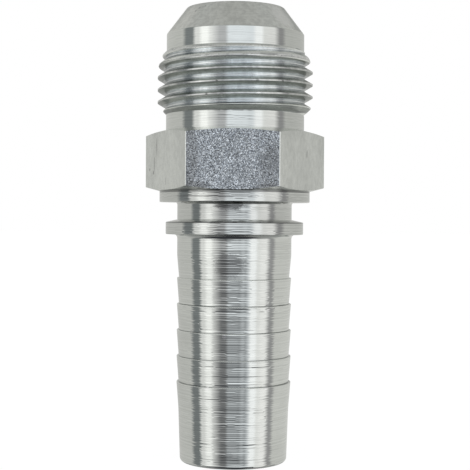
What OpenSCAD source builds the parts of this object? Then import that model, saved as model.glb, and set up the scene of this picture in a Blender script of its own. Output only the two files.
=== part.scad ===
// Hydraulic hose insert with a male 37 degree flare end.
// One piece, turned from hexagon bar. It stands on its hose end, with the axis on Z
// and the flare nose at the top. Millimetres.

/* [Hose tail] */
// Diameter across the barb crests and of the plain shank above them
tail_d = 19.92; // [19.4:0.02:20.6]
// Diameter at the foot of each barb
barb_foot_d = 19.2; // [18.4:0.05:19.3]
// Diameter at the tail end
tail_end_d = 18.6; // [17.2:0.05:19.2]
// Chamfer round the tail end
tail_end_chamfer = 0.3; // [0.1:0.05:0.6]
// Length from the tail end to the crest of the lowest barb
tail_lead_l = 13.8; // [8:0.1:30]
// Number of barbs
barb_count = 5; // [1:1:8]
// Distance from one barb crest to the next
barb_pitch = 4.52; // [3:0.02:7]
// Length over which the shank widens above the last barb
shank_taper_l = 3.9; // [1:0.1:10]
// Length of the plain shank below the lock flange
shank_l = 3.63; // [1:0.01:12]
// Radius in the corner between the shank and the lock flange
shank_corner_r = 0.7; // [0.1:0.05:0.9]

/* [Ferrule lock] */
// Diameter of the lock flange
flange_d = 23.96; // [22:0.02:26]
// Thickness of the lock flange at its rim
flange_l = 2.1; // [1:0.05:4]
// Slope of the flange's upper face, in degrees
flange_slope = 13; // [0:1:30]
// Diameter of the lock groove
groove_d = 19.95; // [18.5:0.05:21]
// Width of the lock groove
groove_l = 3; // [2:0.05:6]
// Radius in the groove's upper corner
groove_corner_r = 0.45; // [0.1:0.05:1]
// Diameter of the collar below the hexagon
collar_d = 26.15; // [24:0.05:26.6]
// Thickness of the collar
collar_l = 1.9; // [1:0.05:5]
// Edge break on the flange, the collar and the barb crests
edge_break = 0.15; // [0.05:0.01:0.25]

/* [Wrench hexagon] */
// Size across the flats
hex_af = 27; // [27:0.5:32]
// Length of the hexagon
hex_l = 10.5; // [6:0.1:20]
// Angle of the chamfer on both ends of the hexagon
hex_chamfer_angle = 15; // [5:1:30]

/* [Flare end] */
// Diameter of the relief neck above the hexagon
neck_d = 24.04; // [23:0.02:24.1]
// Length of the relief neck
neck_l = 2.75; // [2:0.05:6]
// Diameter over the thread crests
thread_d = 26.99; // [26.8:0.01:27.2]
// Threads in one inch
threads_per_inch = 12; // [12:1:14]
// Length of the thread with its chamfered ends
thread_l = 10.8; // [6:0.05:20]
// Diameter at the thread's upper end, where the lead-in chamfer starts
thread_end_d = 24.9; // [24.3:0.05:26]
// Angle of the thread's lead-in chamfer to the axis
thread_lead_angle = 22; // [15:1:45]
// Angle of the thread's lower chamfer to the axis
thread_foot_angle = 45; // [30:1:60]
// Diameter of the plain shoulder between the thread and the nose
shoulder_d = 23.9; // [22.5:0.05:24]
// Length of the plain shoulder
shoulder_l = 3.1; // [1:0.05:6]
// Half angle of the flare cone
flare_angle = 37; // [30:1:45]
// Diameter of the nose
nose_d = 17; // [16.4:0.05:20]

/* [Bore] */
// Diameter of the bore, which runs right through
bore_d = 15.5; // [10:0.05:15.7]
// Chamfer at both ends of the bore
bore_chamfer = 0.2; // [0.05:0.05:0.25]

/* [Hidden] */
$fn = 96;
// Straight lengths in one turn of the thread
thread_sides = 48;
// A cutting tool reaches this far past the surface it cuts
past = 1;

// Heights of the steps, from the tail end up to the nose
last_barb_z = tail_lead_l + (barb_count - 1) * barb_pitch;
shank_z = last_barb_z + shank_taper_l;
flange_z = shank_z + shank_l;
flange_rim_z = flange_z + flange_l;
groove_z = flange_rim_z + (flange_d - groove_d) / 2 * tan(flange_slope);
collar_z = groove_z + groove_l;
hex_z = collar_z + collar_l;
neck_z = hex_z + hex_l;
thread_z = neck_z + neck_l;
shoulder_z = thread_z + thread_l;
flare_z = shoulder_z + shoulder_l;
nose_z = flare_z + (shoulder_d - nose_d) / 2 / tan(flare_angle);

// Unified thread form: 60 degree flanks, an eighth of the pitch flat at the crest,
// and a slightly rounded root taken as a flat
pitch = 25.4 / threads_per_inch;
crest_half = pitch / 16;
flank_angle = 30;
thread_depth = 0.66 * pitch;
root_d = thread_d - 2 * thread_depth;
root_half = crest_half + thread_depth * tan(flank_angle);
// Height of a crest on +X, counted up from the foot of the thread
crest_start = 1.03;
// What is left of a crest where a chamfer has cut it away
least_crest = 0.04;

function pair(d, z) = [d / 2, z];

// One barb: a crest with its edge broken, then the flat step in to the foot
function barb(z) = [
    pair(tail_d, z - edge_break),
    pair(tail_d - 2 * edge_break, z),
    pair(barb_foot_d, z)
];

// Round corner where an upright wall of diameter d runs out under a face at height z
function corner(d, z, r) =
    [for (turn = [180 : -15 : 90]) pair(d, z) + r * [1 + cos(turn), sin(turn) - 1]];

// Outline of the tail, from the axis out and up to the flange. Below the lowest barb the
// pilot tapers from the foot of the barbs to the tail end
function tail_outline() = concat(
    [
        [0, 0],
        pair(tail_end_d - 2 * tail_end_chamfer, 0),
        pair(tail_end_d, tail_end_chamfer),
        pair(barb_foot_d, tail_lead_l - barb_pitch)
    ],
    [for (i = [0 : barb_count - 1]) each barb(tail_lead_l + i * barb_pitch)],
    [pair(tail_d, shank_z)],
    corner(tail_d, flange_z, shank_corner_r)
);

// Outline of the flange, the lock groove and the collar
function lock_outline() = concat(
    [
        pair(flange_d - 2 * edge_break, flange_z),
        pair(flange_d, flange_z + edge_break),
        pair(flange_d, flange_rim_z),
        pair(groove_d, groove_z)
    ],
    corner(groove_d, collar_z, groove_corner_r),
    [
        pair(collar_d - 2 * edge_break, collar_z),
        pair(collar_d, collar_z + edge_break)
    ]
);

// Outline of the core inside the hexagon, the neck, the core inside the thread, the
// shoulder and the cone
function flare_outline() = [
    pair(collar_d, hex_z + hex_l / 2),
    pair(neck_d, hex_z + hex_l / 2),
    pair(neck_d, thread_z + thread_l / 2),
    pair(shoulder_d, thread_z + thread_l / 2),
    pair(shoulder_d, flare_z),
    pair(nose_d, nose_z),
    [0, nose_z]
];

// Everything round but the thread, before the bore is drilled
module turned_body() {
    rotate_extrude()
        polygon(concat(tail_outline(), lock_outline(), flare_outline()));
}

// Hexagon bar between two shallow cones that run in to the neck and the collar
module wrench_hex() {
    rise = tan(hex_chamfer_angle);
    lower = pair(collar_d, hex_z);
    upper = pair(neck_d, neck_z);
    intersection() {
        translate([0, 0, hex_z - past])
            cylinder(h = hex_l + 2 * past, d = hex_af / cos(30), $fn = 6);
        rotate_extrude()
            polygon([
                [0, lower.y - past * rise],
                lower - past * [1, rise],
                lower + hex_af * [1, rise],
                upper + hex_af * [1, -rise],
                upper - past * [1, -rise],
                [0, upper.y + past * rise]
            ]);
    }
}

// Bore with a small chamfer at each end
module flow_bore() {
    rotate_extrude()
        polygon([
            [0, -past],
            pair(bore_d + 2 * (bore_chamfer + past), -past),
            pair(bore_d, bore_chamfer),
            pair(bore_d, nose_z - bore_chamfer),
            pair(bore_d + 2 * (bore_chamfer + past), nose_z + past),
            [0, nose_z + past]
        ]);
}

// Flank height above the root line at a place beside a crest's centre
function flank_r(offset) =
    thread_d / 2 - (abs(offset) - crest_half) / tan(flank_angle);

// Where the flank above or below a crest (side 1 or -1) meets the chamfer's line, which
// passes through radius at_r at height at_z and grows by slope for each millimetre up
function cut_offset(crest_z, side, at_r, at_z, slope) =
    let (steep = 1 / tan(flank_angle))
        (thread_d / 2 + crest_half * steep - at_r - slope * (crest_z - at_z))
            / (slope + side * steep);

// Edge of the crest on one side, moved down the flank where a chamfer cuts it
function crest_edge(crest_z, side) =
    let (
        lead = cut_offset(crest_z, side, thread_end_d / 2, shoulder_z,
                          -tan(thread_lead_angle)),
        foot = cut_offset(crest_z, side, neck_d / 2, thread_z, tan(thread_foot_angle)),
        wide = max(crest_half, side * lead, side * foot),
        offset = side * min(wide, root_half - least_crest * tan(flank_angle))
    )
        [flank_r(offset), offset];

// One turn's section: root, both edges of the crest, root
function ridge(crest_z) = [
    [root_d / 2, -root_half],
    crest_edge(crest_z, -1),
    crest_edge(crest_z, 1),
    [root_d / 2, root_half]
];

// Right-hand thread with its ends square: ridges stacked on columns round the axis,
// each column a little higher than the last, and the seam joined one ridge up
module thread_ridges() {
    rows = 4;
    ridges = ceil(thread_l / pitch) + 4;
    first_z = thread_z + crest_start - 2 * pitch;
    high = rows * ridges;
    points = [
        for (i = [0 : thread_sides - 1], m = [0 : ridges - 1])
            let (a = i * 360 / thread_sides, z = first_z + pitch * (m + a / 360))
                for (p = ridge(z)) [p.x * cos(a), p.x * sin(a), z + p.y]
    ];
    foot = len(points);
    tip = foot + 1;
    ends = [[0, 0, first_z], [0, 0, first_z + pitch * ridges]];
    // The point at row k of column i, where column thread_sides is column 0 again
    function at(i, k) = i < thread_sides ? i * high + k : k + rows;
    walls = [
        for (i = [0 : thread_sides - 1])
            for (k = [0 : high - 2 - (i == thread_sides - 1 ? rows : 0)])
                each [
                    [at(i, k), at(i, k + 1), at(i + 1, k + 1)],
                    [at(i, k), at(i + 1, k + 1), at(i + 1, k)]
                ]
    ];
    lower = concat(
        [for (i = [0 : thread_sides - 1]) [at(i, 0), at(i + 1, 0), foot]],
        [for (k = [rows : -1 : 1]) [at(0, k), at(0, k - 1), foot]]
    );
    last = thread_sides - 1;
    upper = concat(
        [for (i = [0 : last - 1]) [at(i + 1, high - 1), at(i, high - 1), tip]],
        [[at(last + 1, high - 1 - rows), at(last, high - 1 - rows), tip]],
        [for (k = [0 : rows - 1])
            [at(last, high - 1 - rows + k), at(last, high - rows + k), tip]]
    );
    intersection() {
        polyhedron(concat(points, ends), concat(walls, lower, upper));
        translate([0, 0, thread_z])
            cylinder(h = thread_l, d = thread_d + 2 * past);
    }
}

module hose_insert() {
    color("silver")
        difference() {
            union() {
                turned_body();
                wrench_hex();
                thread_ridges();
            }
            flow_bore();
        }
}

hose_insert();
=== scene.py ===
"""Looks of a zinc-plated hydraulic hose insert with a flare end, standing in a pale studio.

The fitting is one piece of turned steel, so one dressed piece stands for it. It is
modelled in millimetres on the axis Z, from the tail end at height 0 to the flare nose,
and brought to metres when it is finished.
"""

import logging
import math
from dataclasses import dataclass
from enum import Enum

import bpy
import numpy as np
from mathutils import Euler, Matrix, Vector


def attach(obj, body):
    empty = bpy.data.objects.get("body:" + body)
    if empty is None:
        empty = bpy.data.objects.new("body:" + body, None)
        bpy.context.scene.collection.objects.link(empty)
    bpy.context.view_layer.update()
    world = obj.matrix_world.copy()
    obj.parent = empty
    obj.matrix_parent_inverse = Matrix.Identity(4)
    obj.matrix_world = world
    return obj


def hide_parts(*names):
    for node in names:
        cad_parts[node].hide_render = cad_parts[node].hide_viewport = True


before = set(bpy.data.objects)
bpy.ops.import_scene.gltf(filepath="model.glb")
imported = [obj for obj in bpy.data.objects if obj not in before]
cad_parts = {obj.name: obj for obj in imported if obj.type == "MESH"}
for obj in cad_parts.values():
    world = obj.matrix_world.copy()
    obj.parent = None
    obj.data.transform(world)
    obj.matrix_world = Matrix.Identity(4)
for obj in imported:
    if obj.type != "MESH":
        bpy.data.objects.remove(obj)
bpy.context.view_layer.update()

METRES_PER_MM = 0.001
METRES_PER_MICRON = 0.000001
FLANK_ANGLE = math.radians(30.0)
MERGE_GAP_MM = 0.002
CUT_GAP_MM = 0.0005
SAME_MM = 0.01
Pair = tuple[float, float]
Triple = tuple[float, float, float]
Piece = bpy.types.Object
Socket = bpy.types.NodeSocket
Items = bpy.types.bpy_prop_collection
log = logging.getLogger("hose_insert")


class Zone(Enum):
    """The surfaces of the fitting that differ in finish. The value is the material's name."""

    TAIL = "zinc_turned_tail"
    LAND = "zinc_turned_land"
    LOCK = "zinc_turned_lock"
    NECK = "zinc_turned_neck"
    FLARE = "zinc_satin_flare"
    THREAD = "zinc_cut_thread"
    CREST = "zinc_worn_crest"
    LEAD = "zinc_chamfered_crest"
    GRAINED = "zinc_grained_flat"
    FLAT = "zinc_plain_flat"
    CHAMFER = "zinc_turned_chamfer"
    # rounded edges, given a brighter colour as a painted highlight
    EDGE = "zinc_edge_painted_highlight"
    BORE = "zinc_drilled_bore"


@dataclass(frozen=True)
class Turn:
    """One corner of the turned outline, in millimetres.

    Args:
        radius: distance from the axis.
        height: height above the tail end.
        rounding: size of the round that breaks the corner, or 0 where it stays sharp.
    """

    radius: float
    height: float
    rounding: float = 0.0


@dataclass(frozen=True)
class Mark:
    """A small spot on the plating. Some are nicks and stains; some are painted shade and painted
    highlights.

    Args:
        around: place round the axis in degrees, 0 at the front and positive to the right.
        height: height above the tail end in millimetres.
        radius: distance from the axis in millimetres.
        size: radius of the spot in millimetres.
        tone: brightness of the spot.
        share: how much of the plating it hides, from 0 to 1.
        tall: its height over its width.
    """

    around: float
    height: float
    radius: float
    size: float
    tone: float = 0.25
    share: float = 0.7
    tall: float = 1.0

    def centre(self) -> Triple:
        """Gives the spot's centre.

        Returns:
            Its place in metres.
        """
        turn = math.radians(self.around)
        x = self.radius * math.sin(turn)
        y = -self.radius * math.cos(turn)
        return (x * METRES_PER_MM, y * METRES_PER_MM, self.height * METRES_PER_MM)


@dataclass(frozen=True)
class Finish:
    """How one zone of the zinc-plated steel looks.

    Args:
        colour: base colour of the plated metal.
        roughness: mean roughness.
        feed: spacing of the tool lines in millimetres.
        depth: depth of the tool lines in micrometres.
        grain: size of the grain's facets in millimetres.
        tilt: how far the facets of the grain lean, or 0 without grain.
        cloud: strength of the slow changes in the plating.
        line_tone: how much the tool lines change the colour.
        mottle: how much small spots of the plating change the colour.
        drawn: how many times longer than wide the spots are, along the axis.
        edge: share of the light that a grazing reflection keeps.
        shade_corners: heights of turned corners where the metal is painted darker as painted
            shade, in millimetres.
        reach: how far up the painted shade goes, in millimetres.
        shade_share: how much of the metal the painted shade hides, from 0 to 1.
        shade_tone: brightness of the painted shade.
        root: lighter colour painted on a thread's roots as painted light, or None where the zone
            isn't threaded.
        marks: scars that lie in this zone.
    """

    colour: Triple
    roughness: float
    feed: float = 0.2
    depth: float = 0.0
    grain: float = 0.4
    tilt: float = 0.0
    cloud: float = 0.5
    line_tone: float = 0.1
    mottle: float = 0.0
    drawn: float = 1.0
    edge: float = 1.0
    shade_corners: tuple[float, ...] = ()
    reach: float = 0.17
    shade_share: float = 0.7
    shade_tone: float = 0.3
    root: Triple | None = None
    marks: tuple[Mark, ...] = ()


class Bench:
    """Short ways to use the modelling operators on one object at a time."""

    @staticmethod
    def deselect_all() -> None:
        """Clears the selection of objects."""
        bpy.ops.object.select_all(action="DESELECT")

    @staticmethod
    def pick(*objects: Piece) -> None:
        """Selects objects and makes the first one active.

        Args:
            objects: the objects to work on.
        """
        Bench.deselect_all()
        for item in objects:
            item.select_set(True)
        bpy.context.view_layer.objects.active = objects[0]

    @staticmethod
    def edit(mode: str = "VERT") -> None:
        """Goes into edit mode.

        Args:
            mode: what is selected there: VERT, EDGE or FACE.
        """
        bpy.ops.object.mode_set(mode="EDIT")
        bpy.ops.mesh.select_mode(type=mode)

    @staticmethod
    def leave() -> None:
        """Goes back to object mode."""
        bpy.ops.object.mode_set(mode="OBJECT")

    @staticmethod
    def merge_doubles() -> None:
        """Merges the points that lie together, in edit mode."""
        bpy.ops.mesh.select_all(action="SELECT")
        bpy.ops.mesh.remove_doubles(threshold=MERGE_GAP_MM)

    @staticmethod
    def face_outward() -> None:
        """Turns every face outward, in edit mode."""
        bpy.ops.mesh.select_all(action="SELECT")
        bpy.ops.mesh.normals_make_consistent(inside=False)

    @staticmethod
    def cut(place: Triple, normal: Triple, **settings: bool) -> None:
        """Cuts the whole mesh along a plane, in edit mode.

        Args:
            place: a point of the plane.
            normal: the way the plane faces.
            settings: the side that goes, and whether the cut is filled.
        """
        bpy.ops.mesh.select_all(action="SELECT")
        bpy.ops.mesh.bisect(plane_co=place, plane_no=normal, threshold=CUT_GAP_MM, **settings)

    @staticmethod
    def read(items: Items, name: str) -> np.ndarray:
        """Reads one vector of every vertex or face.

        Args:
            items: the vertices or the faces.
            name: which of their vectors.

        Returns:
            An array with one row for each item.
        """
        flat = np.empty(len(items) * 3)
        items.foreach_get(name, flat)
        return flat.reshape(-1, 3)

    @staticmethod
    def points(piece: Piece) -> np.ndarray:
        """Reads the places of the vertices, one a row."""
        return Bench.read(piece.data.vertices, "co")

    @staticmethod
    def off_axis(places: np.ndarray) -> np.ndarray:
        """Gives the distance of each place from the axis."""
        return np.hypot(places[:, 0], places[:, 1])

    @staticmethod
    def move_points(piece: Piece, places: np.ndarray) -> None:
        """Puts the vertices in new places.

        Args:
            piece: the mesh object.
            places: one row for each vertex.
        """
        piece.data.vertices.foreach_set("co", places.ravel())
        piece.data.update()

    @staticmethod
    def edge_ends(piece: Piece) -> np.ndarray:
        """Reads the two vertex numbers of every edge.

        Args:
            piece: the mesh object.

        Returns:
            An array with one row for each edge.
        """
        flat = np.empty(len(piece.data.edges) * 2, dtype=np.int32)
        piece.data.edges.foreach_get("vertices", flat)
        return flat.reshape(-1, 2)

    @staticmethod
    def select_edges(piece: Piece, chosen: np.ndarray) -> int:
        """Selects edges in object mode, ready for edit mode.

        Args:
            piece: the mesh object.
            chosen: true for each edge that is wanted.

        Returns:
            How many edges are selected.
        """
        mesh = piece.data
        ends = Bench.edge_ends(piece)
        on = np.zeros(len(mesh.vertices), dtype=bool)
        on[ends[chosen].ravel()] = True
        mesh.polygons.foreach_set("select", np.zeros(len(mesh.polygons), dtype=bool))
        mesh.edges.foreach_set("select", chosen)
        mesh.vertices.foreach_set("select", on)
        return int(chosen.sum())

    @staticmethod
    def round_edges(piece: Piece, chosen: np.ndarray, size: float) -> None:
        """Bevels some edges into narrow rounds.

        Args:
            piece: the mesh object.
            chosen: true for each edge that is rounded.
            size: how far back the round reaches on each side.
        """
        Bench.pick(piece)
        Bench.select_edges(piece, chosen)
        Bench.edit("EDGE")
        bpy.ops.mesh.bevel(offset=size, segments=3, affect="EDGES", clamp_overlap=True)
        Bench.leave()

    @staticmethod
    def wire(name: str, path: list[Pair]) -> Piece:
        """Draws a half section by extruding one vertex from corner to corner.

        Args:
            name: name of the new object.
            path: radius and height of each corner.

        Returns:
            The object, an open wire in the plane of X and Z.
        """
        Bench.deselect_all()
        bpy.ops.mesh.primitive_plane_add(size=1.0)
        piece = bpy.context.object
        piece.name = name
        Bench.edit()
        bpy.ops.mesh.select_all(action="SELECT")
        bpy.ops.mesh.merge(type="CENTER")
        radius, height = path[0]
        bpy.ops.transform.translate(value=(radius, 0.0, height))
        for (r0, z0), (r1, z1) in zip(path, path[1:]):
            bpy.ops.mesh.extrude_region_move(
                TRANSFORM_OT_translate={"value": (r1 - r0, 0.0, z1 - z0)}
            )
        Bench.leave()
        return piece

    @staticmethod
    def modify(piece: Piece, kind: str, **settings: object) -> None:
        """Adds a modifier and applies it.

        Args:
            piece: the object.
            kind: type of the modifier.
            settings: its properties.
        """
        Bench.pick(piece)
        bpy.ops.object.modifier_add(type=kind)
        modifier = piece.modifiers[-1]
        for key, value in settings.items():
            setattr(modifier, key, value)
        bpy.ops.object.modifier_apply(modifier=modifier.name)


@dataclass
class MaleThread:
    """The right-hand thread between the relief neck and the plain shoulder."""

    foot_z: float = 60.123
    length: float = 10.8
    major_d: float = 26.99
    pitch: float = 25.4 / 12
    depth_share: float = 0.66
    crest_share: float = 1 / 16
    crest_start: float = 1.03
    foot_d: float = 24.04
    lead_d: float = 24.9
    lead_angle: float = 22.0
    foot_angle: float = 45.0
    tip_d: float = 24.3
    tip_angle: float = 45.0
    crest_round: float = 0.07
    burr_round: float = 0.5
    spare_turns: int = 2
    arc_turn: float = 60.0
    root_steps: int = 6
    flank_steps: int = 18
    corner_steps: int = 3
    steps: int = 144

    def tip_z(self) -> float:
        """Gives the height where the thread ends."""
        return self.foot_z + self.length

    def crest_half(self) -> float:
        """Gives half the width of a crest's flat."""
        return self.pitch * self.crest_share

    def section(self) -> list[Pair]:
        """Draws one pitch of the thread, from one root's floor to the next.

        Returns:
            Radius and height of each point, with the crest's middle at height 0.
        """
        steep = 1.0 / math.tan(FLANK_ANGLE)
        top = self.major_d / 2
        middle = self.pitch / 2
        sharp_root = top - (middle - self.crest_half()) * steep
        root = top - self.depth_share * self.pitch - sharp_root
        half = []
        for k in range(self.root_steps + 1):
            turn = math.radians(self.arc_turn * k / self.root_steps)
            radius = sharp_root + 2 * root - root * math.cos(turn)
            half.append((radius, middle - root * math.sin(turn)))
        # The arc at the crest's corner touches the flank and the crest's flat
        small = self.crest_round
        corner_z = self.crest_half() - small * math.tan(FLANK_ANGLE)
        arc = []
        for k in range(self.corner_steps + 1):
            turn = math.radians(self.arc_turn * (1 - k / self.corner_steps))
            arc.append((top - small + small * math.cos(turn), corner_z + small * math.sin(turn)))
        root_end = half[-1]
        for k in range(1, self.flank_steps):
            share = k / self.flank_steps
            half.append(tuple(a + (b - a) * share for a, b in zip(root_end, arc[0])))
        half.extend(arc)
        lower = [(r, -z) for r, z in half]
        return lower + [(top, 0.0)] + half[::-1]

    def limit(self, height: np.ndarray) -> np.ndarray:
        """Gives the largest radius that the end chamfers leave at each height.

        Args:
            height: heights in millimetres.

        Returns:
            The radius at each height.
        """
        above = np.maximum(height - self.foot_z, 0.0)
        below = np.maximum(self.tip_z() - height, 0.0)
        chamfers = (
            (self.foot_d, above, self.foot_angle),
            (self.lead_d, below, self.lead_angle),
            (self.tip_d, below, self.tip_angle),
        )
        return np.minimum.reduce(
            [start / 2 + away * math.tan(math.radians(angle)) for start, away, angle in chamfers]
        )

    def soft_limit(self, radius: np.ndarray, height: np.ndarray) -> np.ndarray:
        """Cuts the ridges back to the end chamfers and rounds the edge that is left.

        Args:
            radius: distance of each point from the axis.
            height: height of each point.

        Returns:
            The radius that each point keeps.
        """
        most = self.limit(height)
        inside = np.clip(0.5 + 0.5 * (most - radius) / self.burr_round, 0.0, 1.0)
        round_off = self.burr_round * inside * (1.0 - inside)
        return most + (radius - most) * inside - round_off

    def build(self) -> Piece:
        """Sweeps the section up round the axis and cuts the ends to the chamfers.

        Returns:
            The thread's skin, open at both ends.
        """
        piece = Bench.wire("thread", self.section())
        turns = math.ceil(self.length / self.pitch) + 2 * self.spare_turns
        places = Bench.points(piece)
        places[:, 2] += self.foot_z + self.crest_start - self.spare_turns * self.pitch
        Bench.move_points(piece, places)
        Bench.modify(
            piece,
            "ARRAY",
            count=turns,
            use_relative_offset=False,
            use_constant_offset=True,
            constant_offset_displace=(0.0, 0.0, self.pitch),
            use_merge_vertices=True,
            merge_threshold=MERGE_GAP_MM / 2,
        )
        Bench.modify(
            piece,
            "SCREW",
            angle=math.tau,
            screw_offset=self.pitch,
            iterations=1,
            steps=self.steps,
            render_steps=self.steps,
            axis="Z",
        )
        Bench.edit()
        Bench.merge_doubles()
        Bench.leave()
        places = Bench.points(piece)
        radius = Bench.off_axis(places)
        share = np.minimum(self.soft_limit(radius, places[:, 2]) / radius, 1.0)
        places[:, 0] *= share
        places[:, 1] *= share
        Bench.move_points(piece, places)
        Bench.edit()
        Bench.cut((0.0, 0.0, self.foot_z), (0.0, 0.0, 1.0), clear_inner=True)
        Bench.cut((0.0, 0.0, self.tip_z()), (0.0, 0.0, 1.0), clear_outer=True)
        Bench.merge_doubles()
        Bench.leave()
        return piece

    def phase(self, places: np.ndarray) -> np.ndarray:
        """Gives the height of each point from the nearest crest's middle.

        Args:
            places: points in millimetres, one a row.

        Returns:
            The distance along the axis, never more than half the pitch.
        """
        turn = np.arctan2(places[:, 1], places[:, 0]) / math.tau
        above = places[:, 2] - self.foot_z - self.crest_start - self.pitch * turn
        return np.abs((above / self.pitch + 0.5) % 1.0 - 0.5) * self.pitch


@dataclass
class TurnedBlank:
    """Everything that the lathe and the mill leave, but for the thread."""

    tail_d: float = 19.92
    barb_foot_d: float = 19.2
    tail_end_d: float = 18.6
    tail_end_chamfer: float = 0.3
    tail_lead: float = 13.8
    barb_count: int = 5
    barb_pitch: float = 4.52
    shank_z: float = 35.78
    flange_z: float = 39.41
    flange_d: float = 23.96
    flange_l: float = 2.1
    groove_d: float = 19.95
    groove_z: float = 41.973
    collar_z: float = 44.973
    collar_d: float = 26.15
    hex_z: float = 46.873
    hex_across: float = 27.0
    hex_stock_d: float = 33.0
    hex_chamfer: float = 15.0
    neck_z: float = 57.373
    neck_d: float = 24.04
    thread_z: float = 60.123
    shoulder_z: float = 70.923
    shoulder_d: float = 23.9
    flare_z: float = 74.023
    nose_z: float = 78.601
    nose_d: float = 17.0
    bore_d: float = 15.5
    bore_chamfer: float = 0.2
    cone_start: Pair = (0.02, 0.005)
    cone_gap: float = 0.05
    edge_round: float = 0.14
    fine_round: float = 0.1
    barb_round: float = 0.13
    nose_round: float = 0.16
    hex_round: float = 0.15
    groove_corner: float = 0.45
    shank_corner: float = 0.7
    shank_blend: float = 0.4
    pilot_blend: float = 0.5
    tail_end_blend: float = 0.25
    joint_gap: float = 0.2
    steps: int = 144

    def barb_heights(self) -> list[float]:
        """Gives the height of each barb's step."""
        return [self.tail_lead + k * self.barb_pitch for k in range(self.barb_count)]

    def outline(self) -> list[Turn]:
        """Lists the corners from the neck down the outside, up the bore and back down.

        Returns:
            The corners of an open half section whose ends meet the thread.
        """
        rise = math.tan(math.radians(self.hex_chamfer))
        stock = self.hex_stock_d / 2
        lower_rise = (stock - self.collar_d / 2) * rise
        upper_rise = (stock - self.neck_d / 2) * rise
        flange_rim = self.flange_z + self.flange_l
        turns = [
            Turn(self.neck_d / 2, self.thread_z - self.joint_gap),
            Turn(self.neck_d / 2, self.neck_z),
            Turn(stock, self.neck_z - upper_rise),
            Turn(stock, self.hex_z + lower_rise),
            Turn(self.collar_d / 2 + self.cone_start[0], self.hex_z + self.cone_start[1]),
            Turn(self.collar_d / 2, self.hex_z - self.cone_gap),
            Turn(self.collar_d / 2, self.collar_z, self.edge_round),
            Turn(self.groove_d / 2, self.collar_z, self.groove_corner),
            Turn(self.groove_d / 2, self.groove_z),
            Turn(self.flange_d / 2, flange_rim, self.fine_round),
            Turn(self.flange_d / 2, self.flange_z, self.edge_round),
            Turn(self.tail_d / 2, self.flange_z, self.shank_corner),
            Turn(self.tail_d / 2, self.shank_z, self.shank_blend),
        ]
        for height in reversed(self.barb_heights()):
            turns.append(Turn(self.barb_foot_d / 2, height))
            turns.append(Turn(self.tail_d / 2, height, self.barb_round))
        edge = self.tail_end_chamfer
        bore = self.bore_d / 2
        lip = self.bore_chamfer
        turns += [
            Turn(self.barb_foot_d / 2, self.tail_lead - self.barb_pitch, self.pilot_blend),
            Turn(self.tail_end_d / 2, edge, self.tail_end_blend),
            Turn(self.tail_end_d / 2 - edge, 0.0, self.fine_round),
            Turn(bore + lip, 0.0),
            Turn(bore, lip),
            Turn(bore, self.nose_z - lip),
            Turn(bore + lip, self.nose_z),
            Turn(self.nose_d / 2, self.nose_z, self.nose_round),
            Turn(self.shoulder_d / 2, self.flare_z, self.fine_round),
            Turn(self.shoulder_d / 2, self.shoulder_z + self.joint_gap),
        ]
        return turns

    def build(self) -> Piece:
        """Spins the outline, mills the hexagon and breaks the edges.

        Returns:
            The blank's skin, open where the thread goes.
        """
        turns = self.outline()
        piece = Bench.wire("blank", [(t.radius, t.height) for t in turns])
        Bench.pick(piece)
        Bench.edit()
        bpy.ops.mesh.select_all(action="SELECT")
        bpy.ops.mesh.spin(
            steps=self.steps, angle=math.tau, center=(0.0, 0.0, 0.0), axis=(0.0, 0.0, 1.0)
        )
        Bench.merge_doubles()
        Bench.face_outward()
        Bench.leave()
        for size in sorted({t.rounding for t in turns if t.rounding > 0.0}):
            self.round_loops(piece, [t for t in turns if t.rounding == size], size)
        self.mill(piece)
        return piece

    def round_loops(self, piece: Piece, turns: list[Turn], size: float) -> None:
        """Bevels the rings that lie on some corners of the outline.

        Args:
            piece: the spun blank.
            turns: the corners to round.
            size: how far back the round reaches on each side.
        """
        places = Bench.points(piece)
        radius = Bench.off_axis(places)
        ends = Bench.edge_ends(piece)
        chosen = np.zeros(len(ends), dtype=bool)
        for turn in turns:
            near = abs(radius - turn.radius) < SAME_MM
            near &= abs(places[:, 2] - turn.height) < SAME_MM
            chosen |= near[ends[:, 0]] & near[ends[:, 1]]
        Bench.round_edges(piece, chosen, size)

    def mill(self, piece: Piece) -> None:
        """Cuts the six flats and breaks the hexagon's edges.

        Args:
            piece: the spun blank.
        """
        half = self.hex_across / 2
        Bench.pick(piece)
        Bench.edit()
        for k in range(6):
            turn = math.radians(30.0 + 60.0 * k)
            normal = (math.cos(turn), math.sin(turn), 0.0)
            place = (normal[0] * half, normal[1] * half, 0.0)
            Bench.cut(place, normal, use_fill=True, clear_outer=True)
        Bench.merge_doubles()
        Bench.leave()
        places = Bench.points(piece)
        ends = Bench.edge_ends(piece)
        first, second = ends[:, 0], ends[:, 1]
        corner = half / math.cos(math.radians(30.0))
        at_corner = (Bench.off_axis(places) > corner - SAME_MM) & (places[:, 2] > self.hex_z)
        upright = abs(places[first, 2] - places[second, 2]) > 1.0
        Bench.round_edges(piece, at_corner[first] & at_corner[second] & upright, self.hex_round)


ZoneRule = tuple[np.ndarray, Zone]


class Faces:
    """Places and normals of a mesh's faces."""

    def __init__(self, piece: Piece) -> None:
        """Reads them from the mesh.

        Args:
            piece: the mesh object, in millimetres.
        """
        self.centre = Bench.read(piece.data.polygons, "center")
        self.normal = Bench.read(piece.data.polygons, "normal")
        self.radius = Bench.off_axis(self.centre)
        self.height = self.centre[:, 2]
        self.slope = abs(self.normal[:, 2])


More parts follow.
